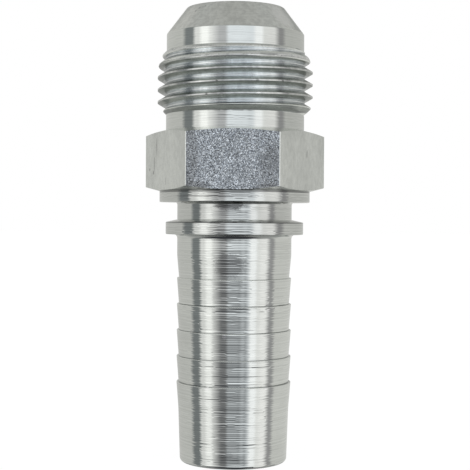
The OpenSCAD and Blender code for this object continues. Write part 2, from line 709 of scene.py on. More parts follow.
@dataclass
class HoseInsert:
    """The whole fitting, joined from the turned blank and the thread."""

    blank: TurnedBlank
    thread: MaleThread
    finishes: dict[Zone, Finish]
    barb_edge_drop: float = 0.06
    barb_edge_half: float = 0.09
    barb_edge_depth: float = 0.12
    crest_depth: float = 0.05
    crest_part: float = 1 / 12
    ridge_edge: float = 0.22
    least_cut: float = 0.1
    least_wall: float = 1.0
    cone_slope: float = 0.3
    end_slope: float = 0.9
    side_slope: float = 0.01
    flat_turn: float = 1.0
    smooth_angle: float = 35.0

    def build(self) -> Piece:
        """Joins the two skins into one closed piece and dresses it.

        Returns:
            The finished piece, in metres.
        """
        blank = self.blank.build()
        thread = self.thread.build()
        Bench.pick(blank, thread)
        bpy.ops.object.join()
        piece = bpy.context.object
        piece.name = "hose_insert_turned"
        piece.data.name = "hose_insert_turned"
        for height in (self.thread.foot_z, self.thread.tip_z()):
            self.bridge(piece, height)
        Bench.pick(piece)
        Bench.edit()
        Bench.face_outward()
        Bench.leave()
        self.dress(piece)
        bpy.ops.object.shade_smooth_by_angle(angle=math.radians(self.smooth_angle))
        Bench.modify(piece, "WEIGHTED_NORMAL", mode="FACE_AREA", keep_sharp=True, weight=50)
        piece.scale = (METRES_PER_MM,) * 3
        bpy.ops.object.transform_apply(location=True, rotation=True, scale=True)
        return piece

    def bridge(self, piece: Piece, height: float) -> None:
        """Joins the thread's open end to the blank's.

        Args:
            piece: the mesh with both skins.
            height: height of the thread's end.
        """
        mesh = piece.data
        count = np.zeros(len(mesh.edges), dtype=np.int32)
        sides = np.empty(len(mesh.loops), dtype=np.int32)
        mesh.loops.foreach_get("edge_index", sides)
        np.add.at(count, sides, 1)
        places = Bench.points(piece)
        ends = Bench.edge_ends(piece)
        near = abs(places[:, 2] - height) < self.blank.joint_gap * 1.5
        chosen = (count == 1) & near[ends[:, 0]] & near[ends[:, 1]]
        Bench.pick(piece)
        picked = Bench.select_edges(piece, chosen)
        Bench.edit("EDGE")
        bpy.ops.mesh.bridge_edge_loops()
        Bench.leave()
        log.info("joined %d open edges at height %.1f", picked, height)

    def zones(self, piece: Piece) -> np.ndarray:
        """Finds the zone of every face. Of the rules that fit a face, the last one holds.

        Args:
            piece: the joined mesh, in millimetres.

        Returns:
            The number of each face's zone, in the order of the Zone names.
        """
        faces = Faces(piece)
        order = list(Zone)
        found = np.full(len(faces.height), order.index(Zone.LAND))
        for rules in (self.turned_rules, self.thread_rules, self.hex_rules):
            for chosen, zone in rules(faces):
                found[chosen] = order.index(zone)
        return found

    def turned_rules(self, faces: Faces) -> list[ZoneRule]:
        """Finds the faces of the tail, the ferrule lock, the neck, the cone and the bore.

        Args:
            faces: the mesh's faces.

        Returns:
            Masks of faces with their zones.
        """
        b = self.blank
        height = faces.height
        rules = [
            (height < b.barb_heights()[-1] + 2 * SAME_MM, Zone.TAIL),
            (height > b.flange_z + SAME_MM, Zone.LOCK),
            (height > b.hex_z, Zone.NECK),
        ]
        rim = faces.radius > b.tail_d / 2 - self.barb_edge_depth
        for step in b.barb_heights():
            below = abs(height - step + self.barb_edge_drop) < self.barb_edge_half
            rules.append((below & rim, Zone.EDGE))
        cone = (height > b.flare_z + 2 * SAME_MM) & (faces.normal[:, 2] > self.cone_slope)
        inside = faces.radius < b.bore_d / 2 + b.bore_chamfer
        inside &= faces.slope < self.end_slope
        return rules + [(cone, Zone.FLARE), (inside, Zone.BORE)]

    def thread_rules(self, faces: Faces) -> list[ZoneRule]:
        """Finds the flanks, the crests and the edges that the chamfers leave.

        Args:
            faces: the mesh's faces.

        Returns:
            Masks of faces with their zones.
        """
        b = self.blank
        t = self.thread
        height = faces.height
        top = t.major_d / 2
        slope = math.tan(FLANK_ANGLE)
        phase = t.phase(faces.centre)
        most = np.minimum(t.limit(height), top)
        inthread = (height > b.thread_z) & (height < b.shoulder_z)
        inthread &= faces.radius > b.bore_d / 2 + self.least_wall
        outside = inthread & (faces.radius > most - self.crest_depth)
        outside &= height > t.foot_z + t.pitch / 2
        crest = outside & (phase < t.pitch * self.crest_part + (top - most) * slope)
        flank = top - (phase - t.crest_half()) / slope
        cut = inthread & (abs(flank - most) < self.ridge_edge) & (most < top - self.least_cut)
        return [
            (inthread, Zone.THREAD),
            (crest, Zone.CREST),
            (crest & (most < top - self.crest_depth), Zone.LEAD),
            (cut, Zone.EDGE),
        ]

    def hex_rules(self, faces: Faces) -> list[ZoneRule]:
        """Finds the hexagon's flats, upright edges and chamfers.

        Args:
            faces: the mesh's faces.

        Returns:
            Masks of faces with their zones.
        """
        b = self.blank
        inhex = (faces.height > b.hex_z + SAME_MM) & (faces.height < b.neck_z - 3 * SAME_MM)
        inhex &= faces.radius > b.neck_d / 2
        side = inhex & (faces.slope < self.side_slope)
        off = np.degrees(np.arctan2(faces.normal[:, 1], faces.normal[:, 0])) % 60.0 - 30.0
        flat = side & (abs(off) < self.flat_turn)
        return [
            (inhex, Zone.CHAMFER),
            (side, Zone.EDGE),
            (flat, Zone.FLAT),
            (flat & (abs(faces.normal[:, 1]) > self.end_slope), Zone.GRAINED),
        ]

    def dress(self, piece: Piece) -> None:
        """Gives every zone of the piece its material.

        Args:
            piece: the joined mesh, in millimetres.
        """
        mesh = piece.data
        mesh.materials.clear()
        shop = PlatingShop()
        for zone in Zone:
            mesh.materials.append(shop.material(zone, self.finishes[zone]))
        found = self.zones(piece)
        mesh.polygons.foreach_set("material_index", found.astype(np.int32))
        mesh.update()
        for k, zone in enumerate(Zone):
            log.info("%s: %d faces", zone.value, int((found == k).sum()))


LEAST_LENGTH = 0.01 * METRES_PER_MM
SHADE_OVERLAP = 0.03 * METRES_PER_MM
NUMBER = "NodeSocketFloat"
VECTOR = "NodeSocketVector"


class Wiring:
    """Short ways to add and join shader nodes in one node tree."""

    def __init__(self, tree: bpy.types.NodeTree) -> None:
        """Keeps the tree that is worked on."""
        self.tree = tree

    @classmethod
    def start(cls, owner: bpy.types.ID) -> "Wiring":
        """Gives a material or a world an empty tree of nodes.

        Args:
            owner: the material or the world.

        Returns:
            The wiring of its tree.
        """
        owner.use_nodes = True
        owner.node_tree.nodes.clear()
        return cls(owner.node_tree)

    def node(self, kind: str, **settings: object) -> bpy.types.Node:
        """Adds a node.

        Args:
            kind: the node's type name.
            settings: its properties.

        Returns:
            The new node.
        """
        made = self.tree.nodes.new(kind)
        for key, value in settings.items():
            setattr(made, key, value)
        return made

    def feed(self, socket: Socket, value: object) -> None:
        """Gives a socket a link where the value is a socket, and else a plain value.

        Args:
            socket: the input.
            value: an output socket, a number or a tuple.
        """
        if isinstance(value, Socket):
            self.tree.links.new(value, socket)
        else:
            socket.default_value = value

    def math(self, operation: str, *values: object) -> Socket:
        """Adds a Math node.

        Args:
            operation: name of the operation.
            values: its inputs.

        Returns:
            The result.
        """
        made = self.node("ShaderNodeMath", operation=operation)
        for socket, value in zip(made.inputs, values):
            self.feed(socket, value)
        return made.outputs[0]

    def vector(self, operation: str, *values: object) -> Socket:
        """Adds a Vector Math node.

        Args:
            operation: name of the operation.
            values: its inputs.

        Returns:
            The result: a number for a length, and else a vector.
        """
        made = self.node("ShaderNodeVectorMath", operation=operation)
        for socket, value in zip(made.inputs, values):
            self.feed(socket, value)
        return made.outputs["Value" if operation == "LENGTH" else "Vector"]

    def times(self, first: object, second: object) -> Socket:
        """Multiplies two numbers."""
        return self.math("MULTIPLY", first, second)

    def per(self, length: object) -> Socket:
        """Gives how many of a length fit in a metre."""
        return self.math("DIVIDE", 1.0, self.math("MAXIMUM", length, LEAST_LENGTH))

    def scaled(self, vector: object, factor: object) -> Socket:
        """Multiplies a vector or a colour by a number.

        Args:
            vector: the vector or the colour.
            factor: the number.

        Returns:
            The product.
        """
        made = self.node("ShaderNodeVectorMath", operation="SCALE")
        self.feed(made.inputs["Vector"], vector)
        self.feed(made.inputs["Scale"], factor)
        return made.outputs["Vector"]

    def split(self, vector: object) -> Items:
        """Splits a vector.

        Args:
            vector: the vector or the colour.

        Returns:
            Its three numbers.
        """
        made = self.node("ShaderNodeSeparateXYZ")
        self.feed(made.inputs[0], vector)
        return made.outputs

    def ramp(
        self,
        value: object,
        low: float,
        high: float,
        start: float = 0.0,
        end: float = 1.0,
        smooth: bool = True,
    ) -> Socket:
        """Maps a range of numbers to another, held at both ends.

        Args:
            value: the number.
            low: where the rise begins.
            high: where the rise ends.
            start: result at low and below.
            end: result at high and above.
            smooth: true for a soft start and end.

        Returns:
            The mapped number.
        """
        made = self.node(
            "ShaderNodeMapRange", interpolation_type="SMOOTHSTEP" if smooth else "LINEAR"
        )
        for socket, number in zip(made.inputs, (value, low, high, start, end)):
            self.feed(socket, number)
        return made.outputs[0]

    def fall(self, value: object, low: float, high: float) -> Socket:
        """Falls softly from 1 at the low value to 0 at the high one."""
        return self.ramp(value, low, high, 1.0, 0.0)

    def varied(
        self,
        colour: object,
        noise: object,
        amount: float,
        span: Pair = (0.3, 0.7),
        smooth: bool = True,
    ) -> Socket:
        """Makes a colour darker and lighter with a noise.

        Args:
            colour: the colour's socket.
            noise: a number from 0 to 1.
            amount: the change each way, as a share.
            span: the numbers at which the colour is darkest and lightest.
            smooth: true for a soft start and end.

        Returns:
            The changed colour.
        """
        return self.scaled(colour, self.ramp(noise, *span, 1.0 - amount, 1.0 + amount, smooth))

    def blend(self, share: object, first: object, second: object) -> Socket:
        """Mixes two colours.

        Args:
            share: 0 for the first, 1 for the second.
            first: a colour or its socket.
            second: a colour or its socket.

        Returns:
            The mixed colour.
        """
        made = self.node("ShaderNodeMix", data_type="RGBA")
        self.feed(made.inputs[0], share)
        for socket, value in ((made.inputs[6], first), (made.inputs[7], second)):
            if isinstance(value, tuple):
                value = (*value[:3], 1.0)
            self.feed(socket, value)
        return made.outputs[2]

    def noise(
        self, place: object, scale: float, detail: float = 2.0, roughness: float = 0.5
    ) -> Socket:
        """Adds a noise.

        Args:
            place: the coordinates.
            scale: how many features fit in a metre.
            detail: how many finer layers are added.
            roughness: how strong the finer layers are.

        Returns:
            The noise from 0 to 1.
        """
        made = self.node("ShaderNodeTexNoise")
        self.feed(made.inputs["Vector"], place)
        self.feed(made.inputs["Scale"], scale)
        self.feed(made.inputs["Detail"], detail)
        self.feed(made.inputs["Roughness"], roughness)
        return made.outputs[0]

    def rings(self, turns: object, scale: float, start: float) -> Socket:
        """Adds a noise that changes along one number only.

        Args:
            turns: the number.
            scale: how many features fit in one unit of it.
            start: where in the noise it begins.

        Returns:
            The noise from 0 to 1.
        """
        made = self.node("ShaderNodeTexNoise", noise_dimensions="1D")
        self.feed(made.inputs["W"], self.math("MULTIPLY_ADD", turns, scale, start))
        self.feed(made.inputs["Scale"], 1.0)
        self.feed(made.inputs["Detail"], 0.0)
        return made.outputs[0]


class EffectGroup:
    """A shader effect that several materials share, built once as a node group."""

    def __init__(self, name: str, inputs: dict[str, str], outputs: dict[str, str]) -> None:
        """Makes the empty group with its sockets.

        Args:
            name: name of the group.
            inputs: the socket type of each input.
            outputs: the socket type of each output.
        """
        self.tree = bpy.data.node_groups.new(name, "ShaderNodeTree")
        for way, sockets in (("INPUT", inputs), ("OUTPUT", outputs)):
            for label, kind in sockets.items():
                self.tree.interface.new_socket(label, in_out=way, socket_type=kind)
        self.wiring = Wiring(self.tree)
        self.into = self.wiring.node("NodeGroupInput").outputs
        self.out = self.wiring.node("NodeGroupOutput").inputs

    def place(self, wiring: Wiring, **values: object) -> Items:
        """Puts the group in a material.

        Args:
            wiring: the material's wiring.
            values: the inputs.

        Returns:
            The outputs.
        """
        made = wiring.node("ShaderNodeGroup", node_tree=self.tree)
        for label, value in values.items():
            wiring.feed(made.inputs[label], value)
        return made.outputs


class PlatingShop:
    """Makes the plated steel's materials from shared effects."""

    def __init__(self) -> None:
        """Builds the shared effects."""
        self.lines = self.tool_lines()
        self.clouds = self.plating_clouds()
        self.grain = self.etched_grain()
        self.blot = self.plating_blot()
        self.shade_corners = self.painted_corner_shade()
        self.turns = self.thread_turns()

    @staticmethod
    def tool_lines() -> EffectGroup:
        """Makes rings round the axis, as a turning tool leaves them.

        Returns:
            The effect: its height is in metres, and its tone runs from 0 to 1.
        """
        group = EffectGroup(
            "tool_lines",
            {"Place": VECTOR, "Feed": NUMBER, "Depth": NUMBER},
            {"Height": NUMBER, "Tone": NUMBER},
        )
        w, into = group.wiring, group.into
        turns = w.times(w.split(into["Place"])[2], w.per(into["Feed"]))
        fine, second, third, broad = (
            w.rings(turns, *layer)
            for layer in ((1.0, 0.0), (1.0, 71.3), (1.0, 37.9), (0.21, 13.7))
        )
        for other, patches in ((second, 210.0), (third, 480.0)):
            patch = w.ramp(w.noise(into["Place"], scale=patches, detail=0.0), 0.4, 0.6)
            fine = w.math("MULTIPLY_ADD", w.math("SUBTRACT", fine, other), patch, other)
        both = w.math("MULTIPLY_ADD", broad, 1.6, fine)
        w.feed(group.out["Height"], w.times(both, into["Depth"]))
        w.feed(group.out["Tone"], fine)
        return group

    @staticmethod
    def plating_clouds() -> EffectGroup:
        """Makes slow changes in the plating.

        Returns:
            The effect: a cloud and a finer mottle, both from 0 to 1.
        """
        group = EffectGroup(
            "plating_clouds", {"Place": VECTOR}, {"Cloud": NUMBER, "Mottle": NUMBER}
        )
        w, into = group.wiring, group.into
        cloud = w.noise(into["Place"], scale=170.0, detail=3.0, roughness=0.6)
        mottle = w.noise(into["Place"], scale=1400.0, detail=2.0, roughness=0.6)
        w.feed(group.out["Cloud"], cloud)
        w.feed(group.out["Mottle"], mottle)
        return group

    @staticmethod
    def etched_grain() -> EffectGroup:
        """Makes the fine facets of the bar's drawn flats.

        Returns:
            The effect: a normal turned at random in every facet, and the facet's tone.
        """
        group = EffectGroup(
            "etched_grain",
            {"Place": VECTOR, "Size": NUMBER, "Tilt": NUMBER},
            {"Normal": VECTOR, "Tone": NUMBER},
        )
        w, into = group.wiring, group.into
        facets = w.node("ShaderNodeTexVoronoi", feature="F1")
        w.feed(facets.inputs["Vector"], into["Place"])
        w.feed(facets.inputs["Scale"], w.per(into["Size"]))
        aside = w.vector("SUBTRACT", facets.outputs["Color"], (0.5, 0.5, 0.5))
        turned = w.scaled(aside, into["Tilt"])
        face = w.node("ShaderNodeNewGeometry").outputs["Normal"]
        w.feed(group.out["Normal"], w.vector("NORMALIZE", w.vector("ADD", face, turned)))
        w.feed(group.out["Tone"], w.split(facets.outputs["Color"])[1])
        return group

    @staticmethod
    def plating_blot() -> EffectGroup:
        """Makes one small ragged spot.

        Returns:
            The effect: its mask is 1 at the spot's middle.
        """
        group = EffectGroup(
            "plating_blot",
            {"Place": VECTOR, "Centre": VECTOR, "Size": NUMBER, "Squash": VECTOR},
            {"Mask": NUMBER},
        )
        w, into = group.wiring, group.into
        aside = w.vector("SUBTRACT", into["Place"], into["Centre"])
        away = w.vector("LENGTH", w.vector("MULTIPLY", aside, into["Squash"]))
        ragged = w.math("MULTIPLY_ADD", w.noise(into["Place"], scale=3500.0), 0.8, 0.6)
        share = w.math("DIVIDE", away, w.times(into["Size"], ragged))
        w.feed(group.out["Mask"], w.fall(share, 0.6, 1.0))
        return group

    @staticmethod
    def painted_corner_shade() -> EffectGroup:
        """Makes a thin dark ring of painted shade in a turned corner.

        Returns:
            The effect: its mask is 1 in the corner and fades upward.
        """
        group = EffectGroup(
            "painted_corner_shade", {"Place": VECTOR, "Corner": NUMBER, "Reach": NUMBER}, {"Mask": NUMBER}
        )
        w, into = group.wiring, group.into
        above = w.math("SUBTRACT", w.split(into["Place"])[2], into["Corner"])
        patchy = w.math("MULTIPLY_ADD", w.noise(into["Place"], scale=500.0), 0.9, 0.55)
        reach = w.times(into["Reach"], patchy)
        up = w.fall(w.math("DIVIDE", above, reach), 0.35, 1.0)
        down = w.math("GREATER_THAN", above, -SHADE_OVERLAP)
        w.feed(group.out["Mask"], w.times(up, down))
        return group

    @staticmethod
    def thread_turns() -> EffectGroup:
        """Finds how deep between two crests of the right-hand thread a point lies.

        Returns:
            The effect: 0 on a crest and 1 in a root.
        """
        group = EffectGroup(
            "thread_turns", {"Place": VECTOR, "Start": NUMBER, "Pitch": NUMBER}, {"Root": NUMBER}
        )
        w, into = group.wiring, group.into
        x, y, z = w.split(into["Place"])
        turn = w.math("DIVIDE", w.math("ARCTAN2", y, x), math.tau)
        above = w.math("SUBTRACT", z, into["Start"])
        pitches = w.math("DIVIDE", above, w.math("MAXIMUM", into["Pitch"], LEAST_LENGTH))
        part = w.math("FRACT", w.math("SUBTRACT", pitches, turn))
        w.feed(group.out["Root"], w.math("PINGPONG", w.times(part, 2.0), 1.0))
        return group

    def material(self, zone: Zone, finish: Finish) -> bpy.types.Material:
        """Makes one zone's material.

        Args:
            zone: the zone, which names it.
            finish: its values.

        Returns:
            The material.
        """
        coat = Coat(zone.value, finish, self)
        coat.lay_root_light()
        coat.lay_mottle()
        coat.lay_lines()
        coat.lay_grain()
        coat.lay_corner_shade()
        coat.lay_blots()
        coat.join()
        return coat.material


class Coat:
    """One zone's material, laid layer over layer."""

    CLOUD_TINT = 0.86
    CLOUD_SPAN = (0.35, 0.75)
    ROOT_SPAN = (0.69, 0.87)
    ROOT_UNEVEN = 0.3
    MOTTLE_ROUGHNESS = 0.08
    BLOT_ROUGHNESS = 0.12
    # slight warm tint of the painted corner shade
    SHADE_RED = 0.97

    def __init__(self, name: str, finish: Finish, effects: PlatingShop) -> None:
        """Starts with the clouded plating.

        Args:
            name: name of the material.
            finish: the zone's values.
            effects: the shared effects.
        """
        self.material = bpy.data.materials.new(name)
        self.finish = finish
        self.effects = effects
        self.w = Wiring.start(self.material)
        self.shader = self.w.node("ShaderNodeBsdfPrincipled")
        self.place = self.w.node("ShaderNodeTexCoord").outputs["Object"]
        drawn = self.w.vector("MULTIPLY", self.place, (1.0, 1.0, 1.0 / finish.drawn))
        self.clouds = effects.clouds.place(self.w, Place=drawn)
        share = self.w.times(self.w.ramp(self.clouds["Cloud"], *self.CLOUD_SPAN), finish.cloud)
        tint = tuple(c * self.CLOUD_TINT for c in finish.colour)
        self.colour = self.w.blend(share, finish.colour, tint)
        least = finish.roughness - self.MOTTLE_ROUGHNESS / 2
        spots = self.clouds["Mottle"]
        self.rough = self.w.math("MULTIPLY_ADD", spots, self.MOTTLE_ROUGHNESS, least)

    def lay_root_light(self) -> None:
        """Paints the roots of the thread lighter than the flanks, as painted light."""
        if self.finish.root is None:
            return
        thread = MaleThread()
        turns = self.effects.turns.place(
            self.w,
            Place=self.place,
            Start=(thread.foot_z + thread.crest_start) * METRES_PER_MM,
            Pitch=thread.pitch * METRES_PER_MM,
        )
        cloud = self.clouds["Cloud"]
        uneven = self.w.math("MULTIPLY_ADD", cloud, self.ROOT_UNEVEN, turns["Root"])
        share = self.w.ramp(uneven, *self.ROOT_SPAN)
        self.colour = self.w.blend(share, self.colour, self.finish.root)

    def lay_mottle(self) -> None:
        """Makes small spots of the plating darker and lighter."""
        if self.finish.mottle > 0.0:
            self.colour = self.w.varied(self.colour, self.clouds["Mottle"], self.finish.mottle)

    def lay_lines(self) -> None:
        """Cuts the tool lines."""
        if self.finish.depth == 0.0:
            return
        lines = self.effects.lines.place(
            self.w,
            Place=self.place,
            Feed=self.finish.feed * METRES_PER_MM,
            Depth=self.finish.depth * METRES_PER_MICRON,
        )
        amount = self.finish.line_tone
        self.colour = self.w.varied(self.colour, lines["Tone"], amount, smooth=False)
        bump = self.w.node("ShaderNodeBump")
        bump.inputs["Distance"].default_value = 1.0
        self.w.feed(bump.inputs["Height"], lines["Height"])
        self.w.feed(self.shader.inputs["Normal"], bump.outputs[0])

    def lay_grain(self) -> None:
        """Etches the grain of a drawn flat."""
        if self.finish.tilt == 0.0:
            return
        size = self.finish.grain * METRES_PER_MM
        tilt = self.finish.tilt
        grain = self.effects.grain.place(self.w, Place=self.place, Size=size, Tilt=tilt)
        self.colour = self.w.varied(self.colour, grain["Tone"], tilt, (0.0, 1.0), smooth=False)
        self.w.feed(self.shader.inputs["Normal"], grain["Normal"])

    def lay_corner_shade(self) -> None:
        """Lays painted shade in the turned corners."""
        tone = self.finish.shade_tone
        for height in self.finish.shade_corners:
            ring = self.effects.shade_corners.place(
                self.w,
                Place=self.place,
                Corner=height * METRES_PER_MM,
                Reach=self.finish.reach * METRES_PER_MM,
            )
            share = self.w.times(ring["Mask"], self.finish.shade_share)
            # painted shade: the corner's colour is blended towards a dark grey
            self.colour = self.w.blend(share, self.colour, (self.SHADE_RED * tone, tone, tone))

    def lay_blots(self) -> None:
        """Lays the spots: nicks and stains, painted shade and painted highlights, all rougher
        than the plating.
        """
        for mark in self.finish.marks:
            blot = self.effects.blot.place(
                self.w,
                Place=self.place,
                Centre=mark.centre(),
                Size=mark.size * METRES_PER_MM,
                Squash=(1.0, 1.0, 1.0 / mark.tall),
            )
            share = self.w.times(blot["Mask"], mark.share)
            self.colour = self.w.blend(share, self.colour, (mark.tone,) * 3)
            self.rough = self.w.math("MULTIPLY_ADD", share, self.BLOT_ROUGHNESS, self.rough)

    def join(self) -> None:
        """Joins the layers to the shader and the shader to the output."""
        self.shader.inputs["Metallic"].default_value = 1.0
        self.shader.inputs["Specular Tint"].default_value = (self.finish.edge,) * 3 + (1.0,)
        self.w.feed(self.shader.inputs["Base Color"], self.colour)
        self.w.feed(self.shader.inputs["Roughness"], self.rough)
        out = self.w.node("ShaderNodeOutputMaterial")
        self.w.feed(out.inputs["Surface"], self.shader.outputs[0])


@dataclass(frozen=True)
class Panel:
    """An upright light panel, card or gap of the studio, seen from the object.

    Args:
        name: what it is.
        start: where it begins, in degrees round the axis, 0 in front and positive right.
        end: where it ends.
        low: brightness at and below the horizon, where 1 is white.
        high: brightness above it.
        tint: colour of its light.
    """

    name: str
    start: float
    end: float
    low: float
    high: float
    tint: Triple = (1.0, 1.0, 1.0)


PALE = (1.0, 1.0, 0.965)
COOL = (0.925, 0.965, 1.01)


@dataclass
class Studio:
    """The light round the object, the floor and the background.

    Angles are in degrees, from the front round the axis or up from the horizon.
    """

    brightest: float = 1.4
    panels: tuple[Panel, ...] = (
        Panel("side wall, left", -150.0, -97.0, 0.56, 0.60, PALE),
        Panel("dark gap, left", -88.5, -74.0, 0.21, 0.25, (0.92, 0.985, 1.0)),
        Panel("edge of the softbox, left", -68.0, -62.0, 0.76, 0.90, (1.0, 1.0, 0.985)),
        Panel("softbox, left", -55.0, -46.0, 1.02, 1.25, (1.0, 1.0, 0.985)),
        Panel("inner side of the softbox", -41.0, -40.0, 0.66, 1.00, (1.0, 1.0, 0.99)),
        Panel("card left of the lens", -25.0, -15.0, 0.21, 0.60, (0.97, 0.975, 1.0)),
        Panel("room beside the lens", -9.5, 9.0, 0.46, 1.04, COOL),
        Panel("card right of the lens", 11.0, 13.0, 0.41, 1.03, COOL),
        Panel("stand right of the lens", 18.0, 21.0, 0.57, 1.00, COOL),
        Panel("lamp stand", 25.0, 26.0, 0.42, 0.98, COOL),
        Panel("inner side of the softbox, right", 29.0, 30.0, 0.62, 0.98, COOL),
        Panel("softbox, right", 36.5, 45.0, 1.10, 1.15, (0.975, 0.985, 1.0)),
        Panel("fold in the softbox", 50.0, 54.0, 0.90, 0.88, (1.0, 1.0, 0.99)),
        Panel("outer side of the softbox", 60.0, 69.5, 1.00, 0.88, (1.0, 0.99, 0.98)),
        Panel("dark gap, right", 79.5, 86.0, 0.35, 0.32, (1.0, 0.99, 1.0)),
        Panel("side wall, right", 94.0, 150.0, 0.65, 0.54, PALE),
    )
    ceiling: Triple = (0.455, 0.46, 0.443)
    brow: Triple = (0.45, 0.46, 0.45)
    ground: Triple = (0.33, 0.335, 0.33)
    table_edge: Triple = (0.055, 0.058, 0.066)
    rear_dark: Triple = (0.16, 0.18, 0.17)
    horizon: Pair = (-8.0, 8.0)
    table_turn: float = 4.0
    table_front: Pair = (14.0, 42.0)
    table_wide: Pair = (45.0, 90.0)
    table_near: Pair = (-44.0, -10.0)
    table_far: Pair = (-40.0, -26.0)
    ceiling_rise: Pair = (40.0, 52.0)
    brow_low: Pair = (24.0, 36.0)
    brow_high: Pair = (58.0, 66.0)
    brow_side: Pair = (112.0, 132.0)
    rear_side: Pair = (146.0, 162.0)
    rear_rise: Pair = (16.0, 27.0)
    floor_size: float = 6.0
    floor_tone: float = 0.8
    floor_glow: float = 1.12
    floor_share: float = 0.85

    def band(self, w: Wiring, around: object, high: bool) -> Socket:
        """Lays the panels side by side in one colour ramp.

        Args:
            w: the world's wiring.
            around: direction round the axis, from 0 to 1.
            high: true for the panels' upper brightness.

        Returns:
            The colour of the panel in that direction.
        """
        made = w.node("ShaderNodeValToRGB")
        stops = made.color_ramp.elements
        stops.remove(stops[1])
        places = [(place, panel) for panel in self.panels for place in (panel.start, panel.end)]
        for k, (place, panel) in enumerate(places):
            where = (place + 180.0) / 360.0
            stop = stops.new(where) if k > 0 else stops[0]
            stop.position = where
            level = (panel.high if high else panel.low) / self.brightest
            stop.color = (*(level * c for c in panel.tint), 1.0)
        w.feed(made.inputs[0], around)
        return made.outputs[0]

    def light(self) -> None:
        """Makes the world: white to the camera, and the studio's panels to the object."""
        world = bpy.data.worlds.new("studio")
        bpy.context.scene.world = world
        w = Wiring.start(world)
        studio = w.node("ShaderNodeBackground")
        w.feed(studio.inputs["Color"], self.surroundings(w))
        studio.inputs["Strength"].default_value = self.brightest
        white = w.node("ShaderNodeBackground")
        white.inputs["Color"].default_value = (1.0, 1.0, 1.0, 1.0)
        pick = w.node("ShaderNodeMixShader")
        w.feed(pick.inputs[0], w.node("ShaderNodeLightPath").outputs["Is Camera Ray"])
        w.feed(pick.inputs[1], studio.outputs[0])
        w.feed(pick.inputs[2], white.outputs[0])
        out = w.node("ShaderNodeOutputWorld")
        w.feed(out.inputs["Surface"], pick.outputs[0])

    def surroundings(self, w: Wiring) -> Socket:
        """Joins the panels, the table, the ceiling and the dark room behind.

        Args:
            w: the world's wiring.

        Returns:
            The colour in each direction, as a share of the brightest.
        """
        x, y, z = w.split(w.node("ShaderNodeTexCoord").outputs["Generated"])
        around = w.math("DEGREES", w.math("ARCTAN2", x, w.times(y, -1.0)))
        up = w.math("DEGREES", w.math("ARCSINE", z))
        aside = w.math("ABSOLUTE", around)
        table = w.math("ABSOLUTE", w.math("ADD", around, self.table_turn))
        over, brow, under, edge, dark = (
            tuple(c / self.brightest for c in colour)
            for colour in (self.ceiling, self.brow, self.ground, self.table_edge, self.rear_dark)
        )
        share = w.ramp(around, -180.0, 180.0, smooth=False)
        lift = w.ramp(up, *self.horizon)
        colour = w.blend(lift, self.band(w, share, False), self.band(w, share, True))
        near = w.ramp(up, *self.table_near, 1.0, 0.0, smooth=False)
        near = w.times(w.fall(table, *self.table_front), near)
        low = w.math("MAXIMUM", w.fall(up, *self.table_far), near)
        colour = w.blend(low, colour, w.blend(w.fall(table, *self.table_wide), under, edge))
        colour = w.blend(w.ramp(up, *self.ceiling_rise), colour, over)
        ahead = w.times(w.ramp(up, *self.brow_low), w.fall(up, *self.brow_high))
        ahead = w.times(ahead, w.fall(aside, *self.brow_side))
        colour = w.blend(ahead, colour, brow)
        rise = w.ramp(w.math("ABSOLUTE", up), *self.rear_rise)
        return w.blend(w.times(w.ramp(aside, *self.rear_side), rise), colour, dark)

    def floor(self) -> Piece:
        """Lays the pale floor that keeps a faint shadow of the object.

        Returns:
            The floor.
        """
        Bench.deselect_all()
        bpy.ops.mesh.primitive_plane_add(size=self.floor_size)
        piece = bpy.context.object
        piece.name = "floor"
        made = bpy.data.materials.new("pale_floor")
        w = Wiring.start(made)
        matt = w.node("ShaderNodeBsdfDiffuse")
        matt.inputs["Color"].default_value = (self.floor_tone,) * 3 + (1.0,)
        glow = w.node("ShaderNodeEmission")
        glow.inputs["Strength"].default_value = self.floor_glow
        mix = w.node("ShaderNodeMixShader")
        mix.inputs[0].default_value = self.floor_share
        w.feed(mix.inputs[1], matt.outputs[0])
        w.feed(mix.inputs[2], glow.outputs[0])
        out = w.node("ShaderNodeOutputMaterial")
        w.feed(out.inputs["Surface"], mix.outputs[0])
        piece.data.materials.append(made)
        piece.visible_glossy = False
        return piece


@dataclass
class Viewpoint:
    """The camera at the photograph's place. Distances are in millimetres."""

    distance: float = 215.3
    eye_height: float = 42.42
    around: float = 1.52
    aim_right: float = 0.0255
    pitch_down: float = 0.832
    lean: float = 0.36
    lens: float = 94.44
    sensor: float = 36.0

    def build(self) -> Piece:
        """Makes the camera and hands it to the scene.

        Returns:
            The camera.
        """
        Bench.deselect_all()
        turn = math.radians(self.around)
        place = Vector((math.sin(turn), -math.cos(turn), 0.0)) * self.distance
        place.z = self.eye_height
        bpy.ops.object.camera_add(location=place * METRES_PER_MM)
        camera = bpy.context.object
        camera.rotation_euler = Euler(
            (
                math.radians(90.0 - self.pitch_down),
                math.radians(-self.lean),
                turn - math.radians(self.aim_right),
            )
        )
        camera.data.sensor_width = self.sensor
        camera.data.lens = self.lens
        camera.data.clip_start = 0.01
        camera.data.clip_end = 20.0
        bpy.context.scene.camera = camera
        return camera


